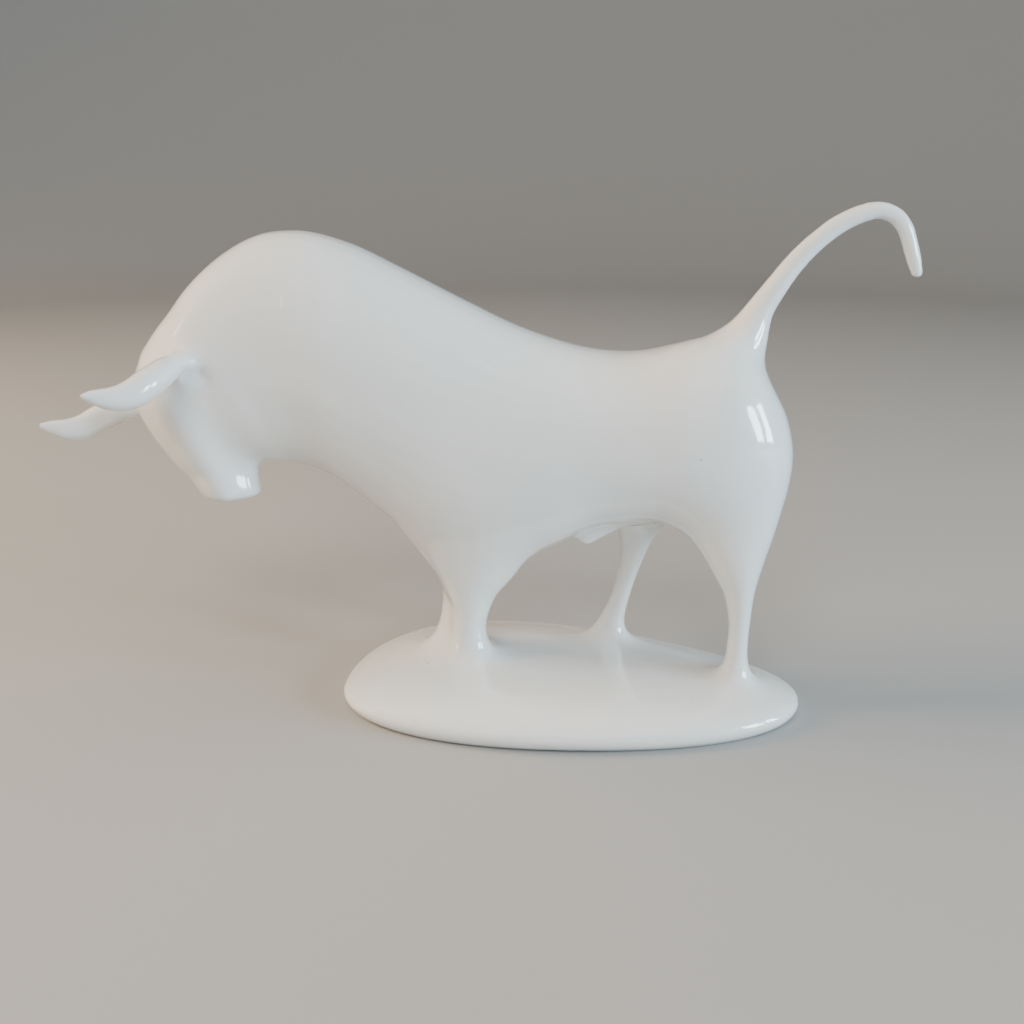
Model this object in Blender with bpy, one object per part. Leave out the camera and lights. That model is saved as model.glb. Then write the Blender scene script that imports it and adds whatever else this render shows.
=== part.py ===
"""A glazed porcelain bull, head down and tail raised, cast in one with a thick pebble base.

Frame: metres, +Z up, the bull faces -X and stands over the origin, which is the middle of the
base's flat underside. -Y is the side that the head turns to.
"""

import math

import bmesh
import bpy
import numpy as np
import openvdb
from mathutils import Vector

# The figure's pose and proportions are in parts, PARTS of them to its length, and its heights are
# from the base's top.
FIGURE_LENGTH = 0.320
PARTS = 320

# Base, measured from the feet that it carries.
BASE_HEIGHT = 0.0145
FRONT_MARGIN = 0.041
REAR_MARGIN = 0.0245
NEAR_MARGIN = 0.0405
FAR_MARGIN = 0.0245
BASE_EDGE_HEIGHT = 0.0045
WIDEST_SHARE = 0.43
NEAR_TAPER = 0.06
NEAR_FULLNESS = 0.87
FAR_TAPER = 0.37
FAR_SWELL = 0.07
UNDER_ROUNDING = 0.016
UNDERCUT = 0.0025
CROWN_POWER = 2.3

# Fillets, where one form runs into the next.
NECK_FILLET = 0.011
SHOULDER_FILLET = 0.016
THIGH_FILLET = 0.018
FORE_LEG_FILLET = 0.016
SHEATH_FILLET = 0.006
FOOT_FILLET = 0.017
TAIL_FILLET = 0.012
HORN_FILLET = 0.009
HOLLOW_FILLET = 0.004

# Fineness of the surface.
VOXEL = 0.0014
RING = 40
STEPS = 8
BASE_RING = 96
TRIANGLES = 9600

# Voxels left free round the shapes in their grid.
GRID_PAD = 6

# Standing places of the feet, in parts, on the top of the base.
NEAR_FORE = (-39.5, 11)
FAR_FORE = (-47, 21)
NEAR_HIND = (63, -2)
FAR_HIND = (17, 32)

PORCELAIN_COLOUR = (0.83, 0.85, 0.87, 1.0)
PORCELAIN_ROUGHNESS = 0.08


def smooth(rows, steps):
    """Rows of numbers filled in to `steps` rows a span, on cubics that run smoothly through them."""
    rows = np.asarray(rows, float)
    gaps = np.linalg.norm(np.diff(rows[:, :3], axis=0), axis=1)
    at_rows = np.concatenate([[0.0], np.cumsum(gaps)])
    slope = np.gradient(rows, at_rows, axis=0)
    spans = len(rows) - 1
    at = np.interp(np.linspace(0, spans, spans * steps + 1), np.arange(spans + 1), at_rows)
    i = np.clip(np.searchsorted(at_rows, at, side="right") - 1, 0, spans - 1)
    h = (at_rows[i + 1] - at_rows[i])[:, None]
    t = (at[:, None] - at_rows[i][:, None]) / h
    start = (1 + 2 * t) * (1 - t) ** 2 * rows[i] + t * (1 - t) ** 2 * h * slope[i]
    end = t * t * (3 - 2 * t) * rows[i + 1] + t * t * (t - 1) * h * slope[i + 1]
    return start + end


def real_size(rows):
    """Rows in parts, whose heights are from the base's top, smoothed and brought to real size."""
    rows = smooth(rows, STEPS) * FIGURE_LENGTH / PARTS
    rows[:, 2] += BASE_HEIGHT
    return rows


def skin(centres, depths, widths, squareness=2.0, domes=(1.0, 1.0)):
    """A closed skin over oval ribs. Each rib has a centre and two half-size vectors.

    A dome of 1 rounds an end off like a ball, and a smaller one leaves it flatter.
    """
    centres, depths, widths = (np.asarray(v, float) for v in (centres, depths, widths))
    ribs = list(zip(centres, depths, widths))
    for end, dome in ((0, domes[0]), (-1, domes[1])):
        inner = centres[1] if end == 0 else centres[-2]
        way = centres[end] - inner
        way /= np.linalg.norm(way)
        reach = dome * min(np.linalg.norm(depths[end]), np.linalg.norm(widths[end]))
        for turn in np.linspace(0, math.pi / 2, 6)[1:-1]:
            shrink = math.cos(turn)
            rib = (
                centres[end] + way * reach * math.sin(turn),
                depths[end] * shrink,
                widths[end] * shrink,
            )
            ribs = [rib] + ribs if end == 0 else ribs + [rib]
    bm = bmesh.new()
    rings = []
    for centre, depth, width in ribs:
        ring = []
        for k in range(RING):
            turn = 2 * math.pi * k / RING
            c, s = math.cos(turn), math.sin(turn)
            c = math.copysign(abs(c) ** (2 / squareness), c)
            s = math.copysign(abs(s) ** (2 / squareness), s)
            ring.append(bm.verts.new(Vector(centre + depth * c + width * s)))
        rings.append(ring)
    for one, two in zip(rings, rings[1:]):
        for k in range(RING):
            n = (k + 1) % RING
            bm.faces.new((one[k], one[n], two[n], two[k]))
    bm.faces.new(rings[0])
    bm.faces.new(rings[-1])
    bmesh.ops.recalc_face_normals(bm, faces=bm.faces)
    bmesh.ops.triangulate(bm, faces=bm.faces)
    return bm


def limb(rows, side=(0, 1, 0), squareness=2.0, domes=(1.0, 1.0)):
    """A skin along a path. Each row is x, y, z, half-depth and half-width, in parts."""
    rows = real_size(rows)
    centres = rows[:, :3]
    ahead = np.gradient(centres, axis=0)
    ahead /= np.linalg.norm(ahead, axis=1)[:, None]
    across = np.asarray(side, float) - ahead * (ahead @ np.asarray(side, float))[:, None]
    across /= np.linalg.norm(across, axis=1)[:, None]
    up = np.cross(ahead, across)
    return skin(centres, up * rows[:, 3:4], across * rows[:, 4:5], squareness, domes)


def trunk():
    """Ribs from the rump to the neck: top x, z, bottom x, z, middle y and half-width."""
    ribs = [
        (75.9, 92, 75.9, 72.5, 15, 9),
        (73.8, 99, 73.8, 68, 15, 14),
        (70.3, 106.6, 70.3, 64, 15, 18.5),
        (66.2, 115.2, 66.2, 61.5, 15, 22.5),
        (59, 122.8, 59, 58.5, 15, 26.5),
        (45, 122.5, 45, 57.5, 15, 29.5),
        (25, 120, 27, 56.5, 15, 29.5),
        (5, 121, 9, 53.5, 15, 29),
        (-18, 127.5, -8, 45.5, 15, 30),
        (-42, 138.5, -28, 40.5, 15, 31),
        (-64, 149.5, -47, 43.5, 15, 31.5),
        (-85, 159, -65, 54, 15, 30.5),
        (-102, 162.5, -80, 64.5, 14, 28.5),
        (-117, 160.3, -92, 73, 13, 26),
        (-130, 152.7, -102, 77, 11, 23.5),
        (-140.5, 143, -110, 78.5, 8.5, 21),
        (-148, 133.5, -116, 79.5, 7, 18.5),
        (-153.5, 126.8, -120, 80.5, 6, 16.5),
        (-158, 120, -123, 81, 5.5, 14.5),
    ]
    rows = []
    for top_x, top_z, low_x, low_z, y, half in ribs:
        rows.append(
            (
                (top_x + low_x) / 2,
                y,
                (top_z + low_z) / 2,
                (top_x - low_x) / 2,
                (top_z - low_z) / 2,
                half,
            )
        )
    rows = real_size(rows)
    centres = rows[:, :3]
    depths = np.stack([rows[:, 3], 0 * rows[:, 3], rows[:, 4]], axis=1)
    widths = rows[:, 5:6] * np.array([[0.0, 1.0, 0.0]])
    return skin(centres, depths, widths, 2.15, (0.2, 0.25))


def head_axes():
    """Down the face, out of the face, and towards the near horn."""
    yaw, roll, tuck = math.radians(40), math.radians(20), math.radians(13)
    ahead = Vector((-math.cos(yaw), -math.sin(yaw), 0))
    near = Vector((math.sin(yaw), -math.cos(yaw), 0)) * math.cos(roll)
    near += Vector((0, 0, math.sin(roll)))
    up = ahead.cross(near)
    down = -up * math.cos(tuck) - ahead * math.sin(tuck)
    out = ahead * math.cos(tuck) - up * math.sin(tuck)
    return down, out, near, ahead, up


POLL = Vector((-146, 6, 106.9))


def head():
    """A blunt wedge from the poll to the muzzle, whose end lies level."""
    down, out, near, ahead, _ = head_axes()
    stations = [
        (-7, 0, 15, 14.5, 0),
        (0, 0, 16.6, 16.6, 0),
        (8, -0.3, 16.6, 16.6, 0),
        (15, -0.8, 16, 16.3, 0),
        (22, -1.2, 14.9, 15.3, 0.1),
        (29, -1.2, 13.3, 13.7, 0.3),
        (35, -1.3, 11.5, 12.3, 0.6),
        (40, -1.2, 10.8, 11.4, 0.9),
        (44.2, -1.2, 10, 10.6, 1),
    ]
    centres, depths, widths = [], [], []
    for along, push, depth, width, level in stations:
        centres.append(POLL + down * along + out * push)
        depths.append(out.lerp(ahead, level).normalized() * depth)
        widths.append(near.lerp(Vector((near.x, near.y, 0)), level / 2).normalized() * width)
    rows = real_size(np.hstack([centres, depths, widths]))
    return skin(rows[:, :3], rows[:, 3:6], rows[:, 6:], 3.0, (0.4, 0.3))


def beside_head(path, turn):
    """Rows for a limb from a path of forward, aside, lift and radius, measured from the poll."""
    _, _, near, ahead, up = head_axes()
    rows = []
    for forward, aside, lift, radius in path:
        spot = POLL + ahead * forward + near * (turn * aside) + up * lift
        rows.append((spot.x, spot.y, spot.z, radius, radius))
    return rows


def horn(turn):
    """A horn that leaves the head sideways, bends forward and lifts at its tip.

    turn is 1 for the near horn and -1 for the far one, which sags a little. Each row of the path is
    forward, aside, lift, radius and sag.
    """
    path = [
        (-3, 8, -1.5, 6, 3.5),
        (1.5, 15.5, 1, 4.7, 5.7),
        (6, 21.5, 3.1, 4.2, 6.8),
        (11, 26.5, 2.8, 4.5, 5.6),
        (16.5, 30, 0.3, 5, 3),
        (22.5, 31.6, -3, 5.4, 1.5),
        (29, 31.8, -5.8, 5, 1),
        (35, 31.8, -6.2, 4.1, 0.5),
        (40, 31.8, -5.2, 2.9, 0),
        (43.5, 31.8, -4.2, 1.6, 0),
    ]
    sagging = 1 if turn < 0 else 0
    rows = [(forward, aside, lift - sagging * sag, radius) for forward, aside, lift, radius, sag in path]
    return limb(beside_head(rows, turn), head_axes()[-1])


def ear_hollow():
    """What is scooped out under the near horn's root, on a path like the horn's."""
    path = [(11.5, 24.8, -4.2, 1.8), (7.5, 25, -2.9, 3.2), (4.2, 25.2, -2, 3.4), (1.8, 25.6, -1.4, 2.8)]
    return limb(beside_head(path, 1), head_axes()[-1])


def tail():
    """Up from the rump in one arc, and down at the tip. Each row is x, y, z and radius."""
    path = [
        (51.5, 15, 111.5, 9),
        (60.9, 15, 125, 8.2),
        (65.5, 15, 135.2, 5.2),
        (70.9, 15, 143.8, 4.2),
        (77, 15, 152.4, 3.75),
        (83.6, 15, 159.4, 3.5),
        (90.6, 15, 165.1, 3.4),
        (97.6, 15, 168.7, 3.25),
        (104.2, 15, 170.2, 3.1),
        (110.1, 15, 168.2, 3.05),
        (113.7, 15, 164.1, 2.95),
        (115.8, 15, 158.9, 2.85),
        (117.8, 15, 153.3, 2.65),
        (119.3, 15, 148.9, 2.1),
    ]
    return limb([(x, y, z, radius, radius) for x, y, z, radius in path])


def legs():
    """Near fore, far fore, near hind and far hind leg, from inside the trunk to inside the base."""
    x, y = NEAR_FORE
    near_fore = [
        (x - 4, y - 2, 70, 24, 17),
        (x + 1, y - 2, 51, 22.5, 14),
        (x + 2, y - 1, 38, 17.3, 11.5),
        (x + 1.3, y, 28, 11.2, 9.5),
        (x + 1, y, 20, 7.2, 7.6),
        (x, y, 12, 6.2, 6.6),
        (x, y, 5, 6.2, 6.6),
        (x, y, -8, 7, 7),
    ]
    x, y = FAR_FORE
    far_fore = [
        (x + 4, y + 4, 70, 20, 16),
        (x + 3.5, y + 3, 50, 15, 13),
        (x + 2, y + 2, 34, 8.5, 9),
        (x + 1, y + 1, 24, 5.4, 6.5),
        (x, y, 15, 4.7, 5.5),
        (x - 1.5, y, 5, 5.2, 5.5),
        (x - 3.5, y, -8, 7, 7),
    ]
    x, y = NEAR_HIND
    near_hind = [
        (x - 23, y + 10, 106, 20, 14),
        (x - 11.2, y + 8, 88, 24.3, 16),
        (x - 7.3, y + 6, 72, 22, 15.5),
        (x - 4, y + 4, 58, 16.5, 13),
        (x - 2, y + 2, 44, 10.3, 10.5),
        (x - 0.5, y + 1, 33, 5.9, 7.5),
        (x + 0.2, y, 21, 4.0, 5.2),
        (x, y, 8, 4.0, 4.8),
        (x, y, -8, 4.6, 5.2),
    ]
    x, y = FAR_HIND
    far_hind = [
        (x + 27, y - 11, 90, 22, 17),
        (x + 20, y - 10, 76, 18, 15.5),
        (x + 12, y - 8, 63, 13.3, 11.5),
        (x + 8.7, y - 4, 49, 8.3, 8),
        (x + 6.8, y - 1, 36, 5.1, 6),
        (x + 4.5, y, 25, 3.9, 4.8),
        (x + 2, y, 15, 3.8, 4.4),
        (x - 1, y, 5, 5, 4.8),
        (x - 3, y, -8, 7, 6),
    ]
    return [limb(rows) for rows in (near_fore, far_fore, near_hind, far_hind)]


def sheath():
    """The small bump under the belly."""
    return limb([(22, 12, 62.5, 5, 4.5), (13, 10.5, 56, 4.6, 4.2), (5.4, 9.3, 50.4, 3.7, 3.4)])


def base():
    """A rounded pebble, blunter at the head's end, that runs past the feet by the margins."""
    feet = np.array([NEAR_FORE, FAR_FORE, NEAR_HIND, FAR_HIND]) * FIGURE_LENGTH / PARTS
    lo = feet.min(axis=0) - (FRONT_MARGIN, NEAR_MARGIN)
    hi = feet.max(axis=0) + (REAR_MARGIN, FAR_MARGIN)
    middle = (lo + hi) / 2
    middle[1] = lo[1] + WIDEST_SHARE * (hi[1] - lo[1])
    near_half, far_half = middle[1] - lo[1], hi[1] - middle[1]
    crown = BASE_HEIGHT - BASE_EDGE_HEIGHT
    under = BASE_EDGE_HEIGHT + UNDERCUT
    outline = []
    for k in range(BASE_RING):
        turn = 2 * math.pi * k / BASE_RING
        c, s = math.cos(turn), math.sin(turn)
        if s < 0:
            y = -near_half * abs(s) ** NEAR_FULLNESS * (1 - NEAR_TAPER * c)
        else:
            y = far_half * s * (1 - FAR_TAPER * c + FAR_SWELL * c * c)
        outline.append((middle[0] + (hi[0] - middle[0]) * c, middle[1] + y))
    bm = bmesh.new()
    rings = []
    for rise in (-75, -60, -45, -30, -15, 0, 4, 9, 16, 25, 36, 48, 60, 72, 82):
        turn = math.radians(rise)
        if rise > 0:
            share, pull = math.cos(turn) ** (2 / CROWN_POWER), 0
            z = BASE_EDGE_HEIGHT + crown * math.sin(turn) ** (2 / CROWN_POWER)
        else:
            share, pull = 1, UNDER_ROUNDING * (1 - math.cos(turn))
            z = BASE_EDGE_HEIGHT + under * math.sin(turn)
        ring = []
        for x, y in outline:
            arm = Vector((x - middle[0], y - middle[1], 0))
            arm *= share * (1 - pull / arm.length)
            ring.append(bm.verts.new((middle[0] + arm.x, middle[1] + arm.y, z)))
        rings.append(ring)
    for one, two in zip(rings, rings[1:]):
        for k in range(BASE_RING):
            n = (k + 1) % BASE_RING
            bm.faces.new((one[k], one[n], two[n], two[k]))
    bm.faces.new(rings[0])
    bm.faces.new(rings[-1])
    bmesh.ops.recalc_face_normals(bm, faces=bm.faces)
    bmesh.ops.triangulate(bm, faces=bm.faces)
    return bm


def arrays(bm, scale):
    """A bmesh's points, divided by scale, and its triangles."""
    bm.verts.index_update()
    points = np.array([v.co for v in bm.verts], np.float32) / scale
    faces = np.array([[v.index for v in f.verts] for f in bm.faces], np.uint32)
    bm.free()
    return points.astype(np.float32), faces


def distances(shapes, voxel, band):
    """The distance from each shape's skin at every point of one grid, in voxels and negative inside."""
    meshes = [arrays(bm, voxel) for bm in shapes]
    lo = np.floor(np.min([points.min(axis=0) for points, _ in meshes], axis=0)).astype(int) - GRID_PAD
    hi = np.ceil(np.max([points.max(axis=0) for points, _ in meshes], axis=0)).astype(int) + GRID_PAD
    fields = []
    for points, faces in meshes:
        grid = openvdb.FloatGrid.createLevelSetFromPolygons(
            points, triangles=faces, exBandWidth=band, inBandWidth=band
        )
        field = np.empty(hi - lo, np.float32)
        grid.copyToArray(field, ijk=tuple(int(n) for n in lo))
        fields.append(field)
    return fields, lo


def blend(one, two, fillet):
    """Two distance fields joined, with a fillet of about this many voxels along their seam."""
    near = np.maximum(fillet - np.abs(one - two), 0) / fillet
    return np.minimum(one, two) - near**3 * fillet / 6


def scoop(one, two, fillet):
    """The first field with the second cut out of it, and the cut's edges eased."""
    return -blend(-one, two, fillet)


def cast(voxel):
    """Every form joined into one skin, as points in metres and faces."""
    widest = max(
        NECK_FILLET,
        SHOULDER_FILLET,
        THIGH_FILLET,
        FORE_LEG_FILLET,
        SHEATH_FILLET,
        FOOT_FILLET,
        TAIL_FILLET,
        HORN_FILLET,
        HOLLOW_FILLET,
    )
    band = widest / voxel + 1
    shapes = [trunk(), head(), horn(1), horn(-1), ear_hollow(), tail(), sheath(), base()] + legs()
    fields, lo = distances(shapes, voxel, band)
    body, skull, near_horn, far_horn, hollow, tail_, bump, plinth = fields[:8]
    near_fore, far_fore, near_hind, far_hind = fields[8:]
    skull = blend(skull, np.minimum(near_horn, far_horn), HORN_FILLET / voxel)
    body = blend(body, skull, NECK_FILLET / voxel)
    body = scoop(body, hollow, HOLLOW_FILLET / voxel)
    body = blend(body, tail_, TAIL_FILLET / voxel)
    fore = blend(near_fore, far_fore, FORE_LEG_FILLET / voxel)
    body = blend(body, fore, SHOULDER_FILLET / voxel)
    body = blend(body, np.minimum(near_hind, far_hind), THIGH_FILLET / voxel)
    body = blend(body, bump, SHEATH_FILLET / voxel)
    body = blend(body, plinth, FOOT_FILLET / voxel)
    grid = openvdb.FloatGrid(float(band))
    grid.copyFromArray(body, ijk=tuple(int(n) for n in lo))
    points, _, quads = grid.convertToPolygons(isovalue=0.0)
    return points * voxel, quads


def glaze():
    """White glazed porcelain."""
    material = bpy.data.materials.new("glazed porcelain")
    material.use_nodes = True
    shader = material.node_tree.nodes["Principled BSDF"]
    shader.inputs["Base Color"].default_value = PORCELAIN_COLOUR
    shader.inputs["Roughness"].default_value = PORCELAIN_ROUGHNESS
    shader.inputs["Metallic"].default_value = 0.0
    return material


def build():
    for old in list(bpy.data.objects):
        bpy.data.objects.remove(old)
    points, quads = cast(VOXEL)
    fine = bpy.data.meshes.new("fine")
    fine.from_pydata(points.tolist(), [], quads.tolist())
    bm = bmesh.new()
    bm.from_mesh(fine)
    bmesh.ops.recalc_face_normals(bm, faces=bm.faces)
    for _ in range(2):
        bmesh.ops.smooth_vert(
            bm, verts=bm.verts, factor=0.5, use_axis_x=True, use_axis_y=True, use_axis_z=True
        )
    bmesh.ops.triangulate(bm, faces=bm.faces)
    count = len(bm.faces)
    bm.to_mesh(fine)
    bm.free()
    helper = bpy.data.objects.new("fine", fine)
    bpy.context.scene.collection.objects.link(helper)
    thin = helper.modifiers.new("thin out", "DECIMATE")
    thin.ratio = TRIANGLES / count
    bpy.context.view_layer.update()
    graph = bpy.context.evaluated_depsgraph_get()
    mesh = bpy.data.meshes.new_from_object(helper.evaluated_get(graph))
    mesh.name = "bull"
    bpy.data.objects.remove(helper)
    bm = bmesh.new()
    bm.from_mesh(mesh)
    whole = list(bm.verts) + list(bm.edges) + list(bm.faces)
    cut = bmesh.ops.bisect_plane(
        bm, geom=whole, dist=1e-6, plane_co=(0, 0, 0), plane_no=(0, 0, -1), clear_outer=True
    )
    rim = [e for e in cut["geom_cut"] if isinstance(e, bmesh.types.BMEdge)]
    bmesh.ops.contextual_create(bm, geom=rim)
    bmesh.ops.dissolve_degenerate(bm, dist=1e-5, edges=bm.edges)
    bmesh.ops.triangulate(bm, faces=bm.faces)
    bmesh.ops.recalc_face_normals(bm, faces=bm.faces)
    bm.to_mesh(mesh)
    bm.free()
    mesh.shade_smooth()
    mesh.set_sharp_from_angle(angle=math.radians(40))
    bull = bpy.data.objects.new("bull", mesh)
    bull.data.materials.clear()
    bull.data.materials.append(glaze())
    bpy.context.scene.collection.objects.link(bull)


build()
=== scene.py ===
"""The looks of a glazed porcelain bull, cast in one with its pebble base.

The solid's forms are repeated here on a finer grid, in its own frame: metres, +Z up, the bull
faces -X and the origin is the middle of the base's flat underside.
"""

import math

import bmesh
import bpy
import numpy as np
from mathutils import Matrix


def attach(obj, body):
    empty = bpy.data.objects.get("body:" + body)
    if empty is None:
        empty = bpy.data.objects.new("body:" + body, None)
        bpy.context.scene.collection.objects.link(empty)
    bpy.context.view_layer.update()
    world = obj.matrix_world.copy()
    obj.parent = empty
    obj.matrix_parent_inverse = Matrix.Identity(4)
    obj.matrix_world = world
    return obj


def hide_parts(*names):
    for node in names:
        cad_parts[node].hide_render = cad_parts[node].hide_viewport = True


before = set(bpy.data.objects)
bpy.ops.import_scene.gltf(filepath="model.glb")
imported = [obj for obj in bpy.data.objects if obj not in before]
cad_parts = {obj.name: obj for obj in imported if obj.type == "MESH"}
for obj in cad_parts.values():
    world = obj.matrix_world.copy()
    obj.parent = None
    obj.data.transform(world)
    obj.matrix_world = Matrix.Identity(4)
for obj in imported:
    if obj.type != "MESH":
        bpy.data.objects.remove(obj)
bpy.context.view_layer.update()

import openvdb
from mathutils import Vector

# The figure's pose and proportions are in parts, PARTS of them to its length, and its heights are
# from the base's top.
FIGURE_LENGTH = 0.320
PARTS = 320

# Base, measured from the feet that it carries.
BASE_HEIGHT = 0.0145
FRONT_MARGIN = 0.041
REAR_MARGIN = 0.0245
NEAR_MARGIN = 0.0405
FAR_MARGIN = 0.0245
BASE_EDGE_HEIGHT = 0.0045
WIDEST_SHARE = 0.43
NEAR_TAPER = 0.06
NEAR_FULLNESS = 0.87
FAR_TAPER = 0.37
FAR_SWELL = 0.07
UNDER_ROUNDING = 0.016
UNDERCUT = 0.0025
CROWN_POWER = 2.3

# Fillets, where one form runs into the next.
NECK_FILLET = 0.011
SHOULDER_FILLET = 0.016
THIGH_FILLET = 0.018
FORE_LEG_FILLET = 0.016
SHEATH_FILLET = 0.006
FOOT_FILLET = 0.017
TAIL_FILLET = 0.012
HORN_FILLET = 0.009
HOLLOW_FILLET = 0.004

# Fineness of the surface.
VOXEL = 0.00112
SMOOTHING = 3
SMOOTHING_SHARE = 0.5
SHARP_EDGE = 40.0
RING = 40
STEPS = 8
DOME_STEPS = 6
BASE_RING = 96

# Voxels left free round the shapes in their grid.
GRID_PAD = 6

# How close to the underside's plane a point counts as on it, and the shortest edge kept there.
CUT_REACH = 1e-6
SHORTEST_EDGE = 1e-5

# Standing places of the feet, in parts, on the top of the base.
NEAR_FORE = (-39.5, 11)
FAR_FORE = (-47, 21)
NEAR_HIND = (63, -2)
FAR_HIND = (17, 32)

# The plane that the trunk and tail lie on, and the poll, between the horns, in parts.
MIDLINE = 15
POLL = Vector((-146, 6, 106.9))

# How the head turns to the near side, leans over and is tucked in, in degrees.
HEAD_YAW = 40.0
HEAD_ROLL = 20.0
HEAD_TUCK = 13.0

# Ribs: 2 is a plain oval, and more is squarer. Ends: 1 is a ball, and less is flatter.
OVAL = 2.0
TRUNK_SQUARENESS = 2.15
HEAD_SQUARENESS = 3.0
ROUND_ENDS = (1.0, 1.0)
TRUNK_ENDS = (0.2, 0.25)
HEAD_ENDS = (0.4, 0.3)

# Turns from the base's edge to its rings, in degrees, down to the underside and up to the crown.
BASE_RISES = (-75, -60, -45, -30, -15, 0, 4, 9, 16, 25, 36, 48, 60, 72, 82)

# Glaze, with scales in turns per metre and heights in metres. A range is where a texture's value
# starts and ends its change.
COOL_WHITE = (0.80, 0.83, 0.84, 1.0)
WARM_WHITE = (0.83, 0.83, 0.81, 1.0)
# Painted shade: the blue-grey that creases and hollows are darkened towards.
CREASE_SHADE_COLOUR = (0.62, 0.70, 0.72, 1.0)
BISCUIT = (0.74, 0.71, 0.66, 1.0)
SPECK_COLOUR = (0.16, 0.13, 0.11, 1.0)
CLOUD_SCALE = 18.0
CLOUD_DETAIL = 3.0
CLOUD_RANGE = (0.35, 0.65)
# Painted crease shade: the pointiness range it fades over, and its share at the deepest hollows.
CREASE_SHADE_RANGE = (0.44, 0.5)
CREASE_SHADE_SHARE = 0.55
SPECK_SCALE = 90.0
SPECK_SIZE = 0.022
SPECK_FADE = 1.6
SPECK_SHARE = 0.12
SMEAR_SCALE = 30.0
SMEAR_DETAIL = 4.0
SMEAR_ROUGHNESS = 0.6
SMEAR_RANGE = (0.3, 0.75)
GLOSS_LOW = 0.10
GLOSS_HIGH = 0.20
BISCUIT_ROUGHNESS = 0.7
COAT_ROUGHNESS = 0.03
GLOW_SHARE = 0.12
GLOW_SPREAD = (1.0, 0.9, 0.75)
GLOW_DEPTH = 0.003
BARE_HEIGHT = 0.0004
WAVE_SCALE = 70.0
WAVE_DETAIL = 1.0
WAVE_HEIGHT = 0.00018
PEEL_SCALE = 600.0
PEEL_SHARE = 0.02
GLAZE_IOR = 1.5

# Studio: a pale sweep, soft lamps and the camera.
FLOOR_GAP = 0.0002
FLOOR_COLOUR = (0.37, 0.37, 0.37, 1.0)
FLOOR_ROUGHNESS = 0.85
SWEEP_START = 1.3
SWEEP_RADIUS = 0.8
SWEEP_STEPS = 16
SWEEP_RING = 96
WALL_HEIGHT = 2.2
SKY_COLOUR = (0.90, 0.90, 0.88, 1.0)
SKY_STRENGTH = 0.13
AIM = (-0.03, 0.01, 0.09)
COOL = (0.60, 0.84, 1.0)
NEUTRAL = (1.0, 0.97, 0.91)
WARM = (1.0, 0.73, 0.47)

# Each lamp: name, place, size, watts, colour, and whether the gloss shows it.
LAMPS = (
    ("window_left_pane", (1.16, -0.60, 0.32), (0.24, 0.50), 13.0, COOL, True),
    ("window_right_pane", (1.29, -0.24, 0.32), (0.24, 0.50), 13.0, COOL, True),
    ("front_soft", (-0.10, -1.05, 1.15), (0.7, 0.7), 14.0, NEUTRAL, False),
    ("left_warm", (-1.15, 0.0, 0.70), (0.6, 0.6), 25.0, WARM, False),
    ("left_strip", (-1.30, -0.25, 0.30), (0.04, 0.6), 2.0, WARM, True),
    ("left_glint", (-0.56, -1.05, 0.68), (0.02, 0.16), 0.07, WARM, True),
    ("flank_line", (0.07, -0.82, 1.10), (1.0, 0.015), 0.2, WARM, True),
    ("overhead", (0.1, 0.1, 1.5), (1.2, 1.2), 6.0, NEUTRAL, False),
)
SENSOR = 36.0
LENS = 40.43
CAMERA_PLACE = (0.00597, -0.40412, 0.20834)
CAMERA_PITCH = 18.0
CAMERA_TURN = 4.0
CLIP_START = 0.01


def smooth(rows, steps):
    """Rows of numbers filled in to `steps` rows a span, on cubics that run smoothly through them."""
    rows = np.asarray(rows, float)
    gaps = np.linalg.norm(np.diff(rows[:, :3], axis=0), axis=1)
    at_rows = np.concatenate([[0.0], np.cumsum(gaps)])
    slope = np.gradient(rows, at_rows, axis=0)
    spans = len(rows) - 1
    at = np.interp(np.linspace(0, spans, spans * steps + 1), np.arange(spans + 1), at_rows)
    i = np.clip(np.searchsorted(at_rows, at, side="right") - 1, 0, spans - 1)
    h = (at_rows[i + 1] - at_rows[i])[:, None]
    t = (at[:, None] - at_rows[i][:, None]) / h
    start = (1 + 2 * t) * (1 - t) ** 2 * rows[i] + t * (1 - t) ** 2 * h * slope[i]
    end = t * t * (3 - 2 * t) * rows[i + 1] + t * t * (t - 1) * h * slope[i + 1]
    return start + end


def real_size(rows):
    """Rows in parts, whose heights are from the base's top, smoothed and brought to real size."""
    rows = smooth(rows, STEPS) * FIGURE_LENGTH / PARTS
    rows[:, 2] += BASE_HEIGHT
    return rows


def circle(count):
    """Cosine and sine at equal steps of one turn."""
    turns = [2 * math.pi * k / count for k in range(count)]
    return [(math.cos(turn), math.sin(turn)) for turn in turns]


def walls(bm, rings):
    """Four-sided faces from each ring of points to the next."""
    for one, two in zip(rings, rings[1:]):
        for k in range(len(one)):
            n = (k + 1) % len(one)
            bm.faces.new((one[k], one[n], two[n], two[k]))


def closed(bm, rings):
    """A closed skin of triangles over rings of points."""
    walls(bm, rings)
    bm.faces.new(rings[0])
    bm.faces.new(rings[-1])
    bmesh.ops.recalc_face_normals(bm, faces=bm.faces)
    bmesh.ops.triangulate(bm, faces=bm.faces)
    return bm


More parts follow.
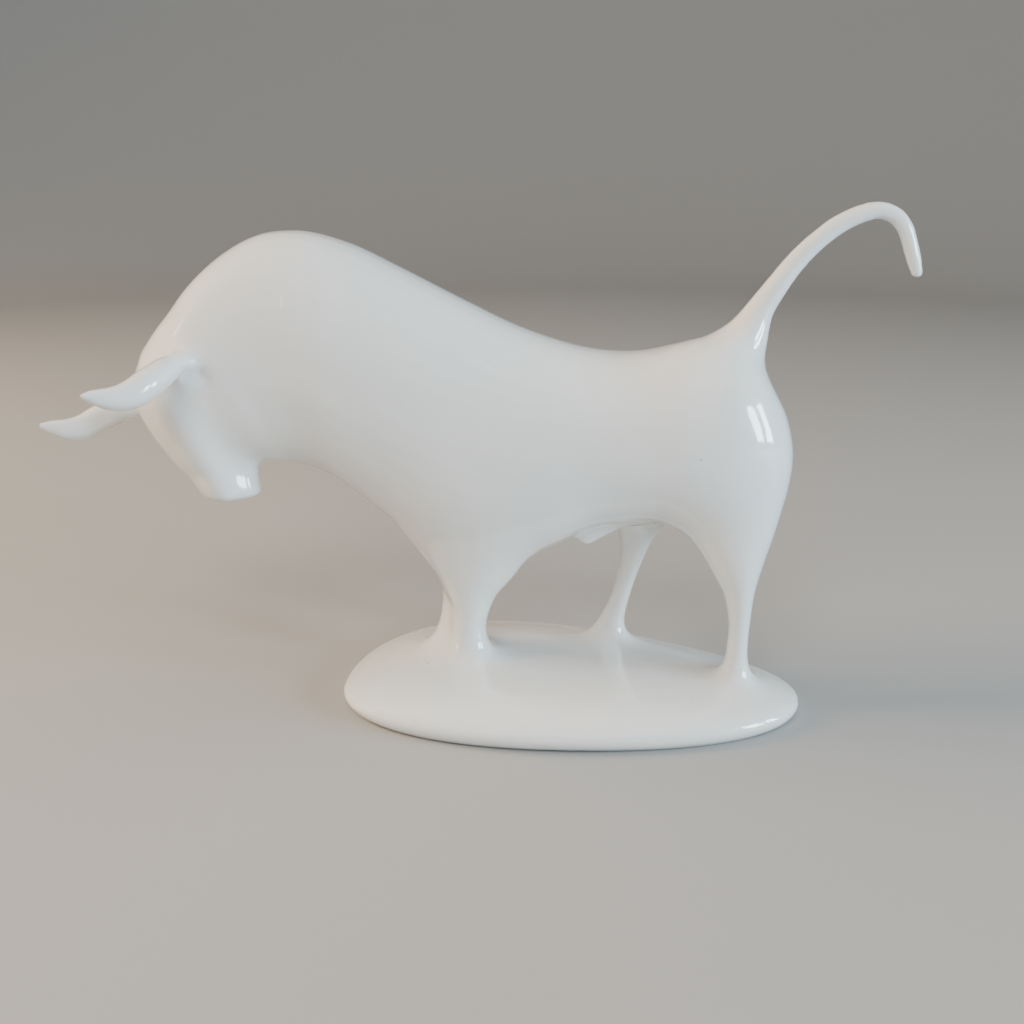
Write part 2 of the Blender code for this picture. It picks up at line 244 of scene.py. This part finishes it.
def skin(centres, depths, widths, squareness=OVAL, domes=ROUND_ENDS):
    """A closed skin over oval ribs. Each rib has a centre and two half-size vectors."""
    centres, depths, widths = (np.asarray(v, float) for v in (centres, depths, widths))
    ribs = list(zip(centres, depths, widths))
    for end, dome in ((0, domes[0]), (-1, domes[1])):
        inner = centres[1] if end == 0 else centres[-2]
        way = centres[end] - inner
        way /= np.linalg.norm(way)
        reach = dome * min(np.linalg.norm(depths[end]), np.linalg.norm(widths[end]))
        for turn in np.linspace(0, math.pi / 2, DOME_STEPS)[1:-1]:
            shrink = math.cos(turn)
            rib = (
                centres[end] + way * reach * math.sin(turn),
                depths[end] * shrink,
                widths[end] * shrink,
            )
            ribs = [rib] + ribs if end == 0 else ribs + [rib]
    bm = bmesh.new()
    rings = []
    for centre, depth, width in ribs:
        ring = []
        for c, s in circle(RING):
            c = math.copysign(abs(c) ** (2 / squareness), c)
            s = math.copysign(abs(s) ** (2 / squareness), s)
            ring.append(bm.verts.new(Vector(centre + depth * c + width * s)))
        rings.append(ring)
    return closed(bm, rings)


def limb(rows, side=(0, 1, 0)):
    """A skin along a path. Each row is x, y, z, half-depth and half-width, in parts."""
    rows = real_size(rows)
    side = np.asarray(side, float)
    centres = rows[:, :3]
    ahead = np.gradient(centres, axis=0)
    ahead /= np.linalg.norm(ahead, axis=1)[:, None]
    across = side - ahead * (ahead @ side)[:, None]
    across /= np.linalg.norm(across, axis=1)[:, None]
    up = np.cross(ahead, across)
    return skin(centres, up * rows[:, 3:4], across * rows[:, 4:5])


def trunk():
    """Ribs from the rump to the neck: top x, z, bottom x, z, middle y and half-width."""
    ribs = [
        (75.9, 92, 75.9, 72.5, MIDLINE, 9),
        (73.8, 99, 73.8, 68, MIDLINE, 14),
        (70.3, 106.6, 70.3, 64, MIDLINE, 18.5),
        (66.2, 115.2, 66.2, 61.5, MIDLINE, 22.5),
        (59, 122.8, 59, 58.5, MIDLINE, 26.5),
        (45, 122.5, 45, 57.5, MIDLINE, 29.5),
        (25, 120, 27, 56.5, MIDLINE, 29.5),
        (5, 121, 9, 53.5, MIDLINE, 29),
        (-18, 127.5, -8, 45.5, MIDLINE, 30),
        (-42, 138.5, -28, 40.5, MIDLINE, 31),
        (-64, 149.5, -47, 43.5, MIDLINE, 31.5),
        (-85, 159, -65, 54, MIDLINE, 30.5),
        (-102, 162.5, -80, 64.5, 14, 28.5),
        (-117, 160.3, -92, 73, 13, 26),
        (-130, 152.7, -102, 77, 11, 23.5),
        (-140.5, 143, -110, 78.5, 8.5, 21),
        (-148, 133.5, -116, 79.5, 7, 18.5),
        (-153.5, 126.8, -120, 80.5, 6, 16.5),
        (-158, 120, -123, 81, 5.5, 14.5),
    ]
    rows = []
    for top_x, top_z, low_x, low_z, y, half in ribs:
        rows.append(
            (
                (top_x + low_x) / 2,
                y,
                (top_z + low_z) / 2,
                (top_x - low_x) / 2,
                (top_z - low_z) / 2,
                half,
            )
        )
    rows = real_size(rows)
    centres = rows[:, :3]
    depths = np.stack([rows[:, 3], 0 * rows[:, 3], rows[:, 4]], axis=1)
    widths = rows[:, 5:6] * np.array([[0.0, 1.0, 0.0]])
    return skin(centres, depths, widths, TRUNK_SQUARENESS, TRUNK_ENDS)


def head_axes():
    """Down the face, out of the face, and towards the near horn."""
    yaw, roll, tuck = (math.radians(turn) for turn in (HEAD_YAW, HEAD_ROLL, HEAD_TUCK))
    ahead = Vector((-math.cos(yaw), -math.sin(yaw), 0))
    near = Vector((math.sin(yaw), -math.cos(yaw), 0)) * math.cos(roll)
    near += Vector((0, 0, math.sin(roll)))
    up = ahead.cross(near)
    down = -up * math.cos(tuck) - ahead * math.sin(tuck)
    out = ahead * math.cos(tuck) - up * math.sin(tuck)
    return down, out, near, ahead, up


def head():
    """A blunt wedge from the poll to the muzzle, whose end lies level.

    Each station is its place along the face, its push out of it, half-depth, half-width and the
    share by which its rib lies level.
    """
    down, out, near, ahead, _ = head_axes()
    stations = [
        (-7, 0, 15, 14.5, 0),
        (0, 0, 16.6, 16.6, 0),
        (8, -0.3, 16.6, 16.6, 0),
        (15, -0.8, 16, 16.3, 0),
        (22, -1.2, 14.9, 15.3, 0.1),
        (29, -1.2, 13.3, 13.7, 0.3),
        (35, -1.3, 11.5, 12.3, 0.6),
        (40, -1.2, 10.8, 11.4, 0.9),
        (44.2, -1.2, 10, 10.6, 1),
    ]
    centres, depths, widths = [], [], []
    for along, push, depth, width, level in stations:
        centres.append(POLL + down * along + out * push)
        depths.append(out.lerp(ahead, level).normalized() * depth)
        widths.append(near.lerp(Vector((near.x, near.y, 0)), level / 2).normalized() * width)
    rows = real_size(np.hstack([centres, depths, widths]))
    return skin(rows[:, :3], rows[:, 3:6], rows[:, 6:], HEAD_SQUARENESS, HEAD_ENDS)


def beside_head(path, turn):
    """Rows for a limb from a path of forward, aside, lift and radius, measured from the poll."""
    _, _, near, ahead, up = head_axes()
    rows = []
    for forward, aside, lift, radius in path:
        spot = POLL + ahead * forward + near * (turn * aside) + up * lift
        rows.append((spot.x, spot.y, spot.z, radius, radius))
    return rows


def horn(turn):
    """A horn that leaves the head sideways, bends forward and lifts at its tip.

    turn is 1 for the near horn and -1 for the far one, which sags a little. Each row of the path is
    forward, aside, lift, radius and sag.
    """
    path = [
        (-3, 8, -1.5, 6, 3.5),
        (1.5, 15.5, 1, 4.7, 5.7),
        (6, 21.5, 3.1, 4.2, 6.8),
        (11, 26.5, 2.8, 4.5, 5.6),
        (16.5, 30, 0.3, 5, 3),
        (22.5, 31.6, -3, 5.4, 1.5),
        (29, 31.8, -5.8, 5, 1),
        (35, 31.8, -6.2, 4.1, 0.5),
        (40, 31.8, -5.2, 2.9, 0),
        (43.5, 31.8, -4.2, 1.6, 0),
    ]
    sagging = 1 if turn < 0 else 0
    rows = [(forward, aside, lift - sagging * sag, radius) for forward, aside, lift, radius, sag in path]
    return limb(beside_head(rows, turn), head_axes()[-1])


def ear_hollow():
    """What is scooped out under the near horn's root, on a path like the horn's."""
    path = [(11.5, 24.8, -4.2, 1.8), (7.5, 25, -2.9, 3.2), (4.2, 25.2, -2, 3.4), (1.8, 25.6, -1.4, 2.8)]
    return limb(beside_head(path, 1), head_axes()[-1])


def tail():
    """Up from the rump in one arc, and down at the tip. Each row is x, z and radius."""
    path = [
        (51.5, 111.5, 9),
        (60.9, 125, 8.2),
        (65.5, 135.2, 5.2),
        (70.9, 143.8, 4.2),
        (77, 152.4, 3.75),
        (83.6, 159.4, 3.5),
        (90.6, 165.1, 3.4),
        (97.6, 168.7, 3.25),
        (104.2, 170.2, 3.1),
        (110.1, 168.2, 3.05),
        (113.7, 164.1, 2.95),
        (115.8, 158.9, 2.85),
        (117.8, 153.3, 2.65),
        (119.3, 148.9, 2.1),
    ]
    return limb([(x, MIDLINE, z, radius, radius) for x, z, radius in path])


def legs():
    """Near fore, far fore, near hind and far hind leg, from inside the trunk to inside the base."""
    x, y = NEAR_FORE
    near_fore = [
        (x - 4, y - 2, 70, 24, 17),
        (x + 1, y - 2, 51, 22.5, 14),
        (x + 2, y - 1, 38, 17.3, 11.5),
        (x + 1.3, y, 28, 11.2, 9.5),
        (x + 1, y, 20, 7.2, 7.6),
        (x, y, 12, 6.2, 6.6),
        (x, y, 5, 6.2, 6.6),
        (x, y, -8, 7, 7),
    ]
    x, y = FAR_FORE
    far_fore = [
        (x + 4, y + 4, 70, 20, 16),
        (x + 3.5, y + 3, 50, 15, 13),
        (x + 2, y + 2, 34, 8.5, 9),
        (x + 1, y + 1, 24, 5.4, 6.5),
        (x, y, 15, 4.7, 5.5),
        (x - 1.5, y, 5, 5.2, 5.5),
        (x - 3.5, y, -8, 7, 7),
    ]
    x, y = NEAR_HIND
    near_hind = [
        (x - 23, y + 10, 106, 20, 14),
        (x - 11.2, y + 8, 88, 24.3, 16),
        (x - 7.3, y + 6, 72, 22, 15.5),
        (x - 4, y + 4, 58, 16.5, 13),
        (x - 2, y + 2, 44, 10.3, 10.5),
        (x - 0.5, y + 1, 33, 5.9, 7.5),
        (x + 0.2, y, 21, 4.0, 5.2),
        (x, y, 8, 4.0, 4.8),
        (x, y, -8, 4.6, 5.2),
    ]
    x, y = FAR_HIND
    far_hind = [
        (x + 27, y - 11, 90, 22, 17),
        (x + 20, y - 10, 76, 18, 15.5),
        (x + 12, y - 8, 63, 13.3, 11.5),
        (x + 8.7, y - 4, 49, 8.3, 8),
        (x + 6.8, y - 1, 36, 5.1, 6),
        (x + 4.5, y, 25, 3.9, 4.8),
        (x + 2, y, 15, 3.8, 4.4),
        (x - 1, y, 5, 5, 4.8),
        (x - 3, y, -8, 7, 6),
    ]
    return [limb(rows) for rows in (near_fore, far_fore, near_hind, far_hind)]


def sheath():
    """The small bump under the belly."""
    return limb([(22, 12, 62.5, 5, 4.5), (13, 10.5, 56, 4.6, 4.2), (5.4, 9.3, 50.4, 3.7, 3.4)])


def base():
    """A rounded pebble, blunter at the head's end, that runs past the feet by the margins."""
    feet = np.array([NEAR_FORE, FAR_FORE, NEAR_HIND, FAR_HIND]) * FIGURE_LENGTH / PARTS
    lo = feet.min(axis=0) - (FRONT_MARGIN, NEAR_MARGIN)
    hi = feet.max(axis=0) + (REAR_MARGIN, FAR_MARGIN)
    middle = (lo + hi) / 2
    middle[1] = lo[1] + WIDEST_SHARE * (hi[1] - lo[1])
    near_half, far_half = middle[1] - lo[1], hi[1] - middle[1]
    crown = BASE_HEIGHT - BASE_EDGE_HEIGHT
    under = BASE_EDGE_HEIGHT + UNDERCUT
    outline = []
    for c, s in circle(BASE_RING):
        if s < 0:
            y = -near_half * abs(s) ** NEAR_FULLNESS * (1 - NEAR_TAPER * c)
        else:
            y = far_half * s * (1 - FAR_TAPER * c + FAR_SWELL * c * c)
        outline.append((middle[0] + (hi[0] - middle[0]) * c, middle[1] + y))
    bm = bmesh.new()
    rings = []
    for rise in BASE_RISES:
        turn = math.radians(rise)
        if rise > 0:
            share, pull = math.cos(turn) ** (2 / CROWN_POWER), 0
            z = BASE_EDGE_HEIGHT + crown * math.sin(turn) ** (2 / CROWN_POWER)
        else:
            share, pull = 1, UNDER_ROUNDING * (1 - math.cos(turn))
            z = BASE_EDGE_HEIGHT + under * math.sin(turn)
        ring = []
        for x, y in outline:
            arm = Vector((x - middle[0], y - middle[1], 0))
            arm *= share * (1 - pull / arm.length)
            ring.append(bm.verts.new((middle[0] + arm.x, middle[1] + arm.y, z)))
        rings.append(ring)
    return closed(bm, rings)


def arrays(bm, scale):
    """A bmesh's points, divided by scale, and its triangles."""
    bm.verts.index_update()
    points = np.array([v.co for v in bm.verts], np.float32) / scale
    faces = np.array([[v.index for v in f.verts] for f in bm.faces], np.uint32)
    bm.free()
    return points.astype(np.float32), faces


def distances(shapes, voxel, band):
    """The distance from each shape's skin at every point of one grid, in voxels and negative inside."""
    meshes = [arrays(bm, voxel) for bm in shapes]
    lo = np.floor(np.min([points.min(axis=0) for points, _ in meshes], axis=0)).astype(int) - GRID_PAD
    hi = np.ceil(np.max([points.max(axis=0) for points, _ in meshes], axis=0)).astype(int) + GRID_PAD
    fields = []
    for points, faces in meshes:
        grid = openvdb.FloatGrid.createLevelSetFromPolygons(
            points, triangles=faces, exBandWidth=band, inBandWidth=band
        )
        field = np.empty(hi - lo, np.float32)
        grid.copyToArray(field, ijk=tuple(int(n) for n in lo))
        fields.append(field)
    return fields, lo


def blend(one, two, fillet):
    """Two distance fields joined, with a fillet of about this many voxels along their seam."""
    near = np.maximum(fillet - np.abs(one - two), 0) / fillet
    return np.minimum(one, two) - near**3 * fillet / 6


def scoop(one, two, fillet):
    """The first field with the second cut out of it, and the cut's edges eased."""
    return -blend(-one, two, fillet)


def cast(voxel):
    """Every form joined into one skin, as points in metres and faces."""
    widest = max(
        NECK_FILLET,
        SHOULDER_FILLET,
        THIGH_FILLET,
        FORE_LEG_FILLET,
        SHEATH_FILLET,
        FOOT_FILLET,
        TAIL_FILLET,
        HORN_FILLET,
        HOLLOW_FILLET,
    )
    band = widest / voxel + 1
    shapes = [trunk(), head(), horn(1), horn(-1), ear_hollow(), tail(), sheath(), base()] + legs()
    fields, lo = distances(shapes, voxel, band)
    body, skull, near_horn, far_horn, hollow, tail_, bump, plinth = fields[:8]
    near_fore, far_fore, near_hind, far_hind = fields[8:]
    skull = blend(skull, np.minimum(near_horn, far_horn), HORN_FILLET / voxel)
    body = blend(body, skull, NECK_FILLET / voxel)
    body = scoop(body, hollow, HOLLOW_FILLET / voxel)
    body = blend(body, tail_, TAIL_FILLET / voxel)
    fore = blend(near_fore, far_fore, FORE_LEG_FILLET / voxel)
    body = blend(body, fore, SHOULDER_FILLET / voxel)
    body = blend(body, np.minimum(near_hind, far_hind), THIGH_FILLET / voxel)
    body = blend(body, bump, SHEATH_FILLET / voxel)
    body = blend(body, plinth, FOOT_FILLET / voxel)
    grid = openvdb.FloatGrid(float(band))
    grid.copyFromArray(body, ijk=tuple(int(n) for n in lo))
    points, _, quads = grid.convertToPolygons(isovalue=0.0)
    return points * voxel, quads


def fine_bull():
    """The cast form as one smooth mesh, cut flat below."""
    points, quads = cast(VOXEL)
    mesh = bpy.data.meshes.new("bull_glazed")
    mesh.from_pydata(points.tolist(), [], quads.tolist())
    bm = bmesh.new()
    bm.from_mesh(mesh)
    bmesh.ops.recalc_face_normals(bm, faces=bm.faces)
    for _ in range(SMOOTHING):
        bmesh.ops.smooth_vert(
            bm,
            verts=bm.verts,
            factor=SMOOTHING_SHARE,
            use_axis_x=True,
            use_axis_y=True,
            use_axis_z=True,
        )
    whole = list(bm.verts) + list(bm.edges) + list(bm.faces)
    cut = bmesh.ops.bisect_plane(
        bm, geom=whole, dist=CUT_REACH, plane_co=(0, 0, 0), plane_no=(0, 0, -1), clear_outer=True
    )
    rim = [e for e in cut["geom_cut"] if isinstance(e, bmesh.types.BMEdge)]
    bmesh.ops.contextual_create(bm, geom=rim)
    bmesh.ops.dissolve_degenerate(bm, dist=SHORTEST_EDGE, edges=bm.edges)
    bmesh.ops.recalc_face_normals(bm, faces=bm.faces)
    bmesh.ops.triangulate(bm, faces=[f for f in bm.faces if len(f.verts) > 4])
    bm.to_mesh(mesh)
    bm.free()
    mesh.shade_smooth()
    mesh.set_sharp_from_angle(angle=math.radians(SHARP_EDGE))
    bull = bpy.data.objects.new("bull_glazed", mesh)
    bpy.context.scene.collection.objects.link(bull)
    return bull


class Shades:
    """A short way to add and join a material's nodes."""

    def __init__(self, name):
        self.material = bpy.data.materials.new(name)
        self.material.use_nodes = True
        self.nodes = self.material.node_tree.nodes
        self.shader = self.nodes["Principled BSDF"]

    def join(self, out, into):
        """A link from one socket to another."""
        self.material.node_tree.links.new(out, into)

    def add(self, kind, inputs=None, **settings):
        """A new node, whose inputs are joined to sockets or set to values."""
        node = self.nodes.new(kind)
        for key, value in settings.items():
            setattr(node, key, value)
        for key, value in (inputs or {}).items():
            if isinstance(value, bpy.types.NodeSocket):
                self.join(value, node.inputs[key])
            else:
                node.inputs[key].default_value = value
        return node

    def noise(self, place, scale, detail=2.0, roughness=0.5):
        """A soft random value at each place."""
        inputs = {"Vector": place, "Scale": scale, "Detail": detail, "Roughness": roughness}
        return self.add("ShaderNodeTexNoise", inputs).outputs["Fac"]

    def spread(self, value, from_low, from_high, to_low=0.0, to_high=1.0):
        """A value that eases from to_low to to_high while the given one goes through its range."""
        inputs = {"Value": value, "From Min": from_low, "From Max": from_high}
        inputs.update({"To Min": to_low, "To Max": to_high})
        node = self.add("ShaderNodeMapRange", inputs, interpolation_type="SMOOTHSTEP")
        return node.outputs["Result"]

    def mix(self, share, one, two):
        """One colour, with this share of the other."""
        return self.add("ShaderNodeMix", {0: share, 6: one, 7: two}, data_type="RGBA").outputs[2]

    def maths(self, kind, one, two):
        """One calculation on two values."""
        return self.add("ShaderNodeMath", {0: one, 1: two}, operation=kind).outputs[0]


def porcelain():
    """White body under a clear gloss glaze, with small specks, painted shade darkening its creases, and
    bare biscuit where it stands.
    """
    s = Shades("glazed porcelain")
    place = s.add("ShaderNodeTexCoord").outputs["Object"]
    height = s.add("ShaderNodeSeparateXYZ", {"Vector": place}).outputs["Z"]

    cloud = s.spread(s.noise(place, CLOUD_SCALE, CLOUD_DETAIL), *CLOUD_RANGE)
    white = s.mix(cloud, COOL_WHITE, WARM_WHITE)
    # Painted shade: hollows and creases, found by the mesh's pointiness, are darkened towards blue-grey.
    crease_shade_pointiness = s.add("ShaderNodeNewGeometry").outputs["Pointiness"]
    white = s.mix(s.spread(crease_shade_pointiness, *CREASE_SHADE_RANGE, CREASE_SHADE_SHARE, 0.0), white, CREASE_SHADE_COLOUR)

    cells = s.add("ShaderNodeTexVoronoi", {"Vector": place, "Scale": SPECK_SCALE})
    speck = s.spread(cells.outputs["Distance"], SPECK_SIZE, SPECK_FADE * SPECK_SIZE, 1.0, 0.0)
    pick = s.add("ShaderNodeSeparateColor", {"Color": cells.outputs["Color"]}).outputs["Red"]
    speck = s.maths("MULTIPLY", speck, s.maths("LESS_THAN", pick, SPECK_SHARE))
    white = s.mix(speck, white, SPECK_COLOUR)

    bare = s.spread(height, BARE_HEIGHT, 2 * BARE_HEIGHT, 1.0, 0.0)
    s.join(s.mix(bare, white, BISCUIT), s.shader.inputs["Base Color"])

    smear = s.noise(place, SMEAR_SCALE, SMEAR_DETAIL, SMEAR_ROUGHNESS)
    gloss = s.spread(smear, *SMEAR_RANGE, GLOSS_LOW, GLOSS_HIGH)
    rough = s.add("ShaderNodeMix", {0: bare, 2: gloss, 3: BISCUIT_ROUGHNESS}, data_type="FLOAT")
    s.join(rough.outputs[0], s.shader.inputs["Roughness"])
    s.join(s.maths("SUBTRACT", 1.0, bare), s.shader.inputs["Coat Weight"])

    wave = s.noise(place, WAVE_SCALE, WAVE_DETAIL)
    peel = s.noise(place, PEEL_SCALE)
    relief = s.maths("ADD", wave, s.maths("MULTIPLY", peel, PEEL_SHARE))
    bump = s.add("ShaderNodeBump", {"Height": relief, "Distance": WAVE_HEIGHT, "Strength": 1.0})
    s.join(bump.outputs["Normal"], s.shader.inputs["Normal"])
    s.join(bump.outputs["Normal"], s.shader.inputs["Coat Normal"])

    s.shader.inputs["Metallic"].default_value = 0.0
    s.shader.inputs["IOR"].default_value = GLAZE_IOR
    s.shader.inputs["Coat Roughness"].default_value = COAT_ROUGHNESS
    s.shader.inputs["Coat IOR"].default_value = GLAZE_IOR
    s.shader.inputs["Subsurface Weight"].default_value = GLOW_SHARE
    s.shader.inputs["Subsurface Radius"].default_value = GLOW_SPREAD
    s.shader.inputs["Subsurface Scale"].default_value = GLOW_DEPTH
    return s.material


def plain(name, colour, roughness):
    """A material of one colour."""
    s = Shades(name)
    s.shader.inputs["Base Color"].default_value = colour
    s.shader.inputs["Roughness"].default_value = roughness
    return s.material


def studio():
    """A round pale floor that sweeps up into a wall all the way round."""
    profile = [(SWEEP_START, 0.0)]
    for turn in np.linspace(0, math.pi / 2, SWEEP_STEPS)[1:]:
        rise = SWEEP_RADIUS * (1 - math.cos(turn))
        profile.append((SWEEP_START + SWEEP_RADIUS * math.sin(turn), rise))
    profile.append((SWEEP_START + SWEEP_RADIUS, WALL_HEIGHT))
    bm = bmesh.new()
    rings = []
    for radius, z in profile:
        spots = [(radius * c, radius * s, z - FLOOR_GAP) for c, s in circle(SWEEP_RING)]
        rings.append([bm.verts.new(spot) for spot in spots])
    bm.faces.new(rings[0])
    walls(bm, rings[::-1])
    mesh = bpy.data.meshes.new("studio")
    bm.to_mesh(mesh)
    bm.free()
    mesh.shade_smooth()
    floor = bpy.data.objects.new("studio", mesh)
    floor.data.materials.append(plain("pale floor", FLOOR_COLOUR, FLOOR_ROUGHNESS))
    bpy.context.scene.collection.objects.link(floor)


def lamp(name, place, size, power, colour, glossy):
    """A soft rectangular light at a place, facing the bull."""
    light = bpy.data.lights.new(name, "AREA")
    light.shape = "RECTANGLE"
    light.size, light.size_y = size
    light.energy = power
    light.color = colour
    lamp_object = bpy.data.objects.new(name, light)
    lamp_object.location = place
    lamp_object.rotation_euler = (Vector(AIM) - Vector(place)).to_track_quat("-Z", "Y").to_euler()
    lamp_object.visible_glossy = glossy
    bpy.context.scene.collection.objects.link(lamp_object)


def lights():
    """The lamps, and a faint even sky."""
    for settings in LAMPS:
        lamp(*settings)
    world = bpy.data.worlds.new("soft sky")
    world.use_nodes = True
    background = world.node_tree.nodes["Background"]
    background.inputs["Color"].default_value = SKY_COLOUR
    background.inputs["Strength"].default_value = SKY_STRENGTH
    bpy.context.scene.world = world


def camera():
    """A camera a little above the bull's back, on its near side."""
    data = bpy.data.cameras.new("camera")
    data.sensor_width = SENSOR
    data.lens = LENS
    data.clip_start = CLIP_START
    eye = bpy.data.objects.new("camera", data)
    eye.location = CAMERA_PLACE
    eye.rotation_euler = (math.radians(90 - CAMERA_PITCH), 0, math.radians(CAMERA_TURN))
    bpy.context.scene.collection.objects.link(eye)
    bpy.context.scene.camera = eye


bull = fine_bull()
bull.data.materials.append(porcelain())
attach(bull, "root")
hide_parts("bull")
studio()
lights()
camera()
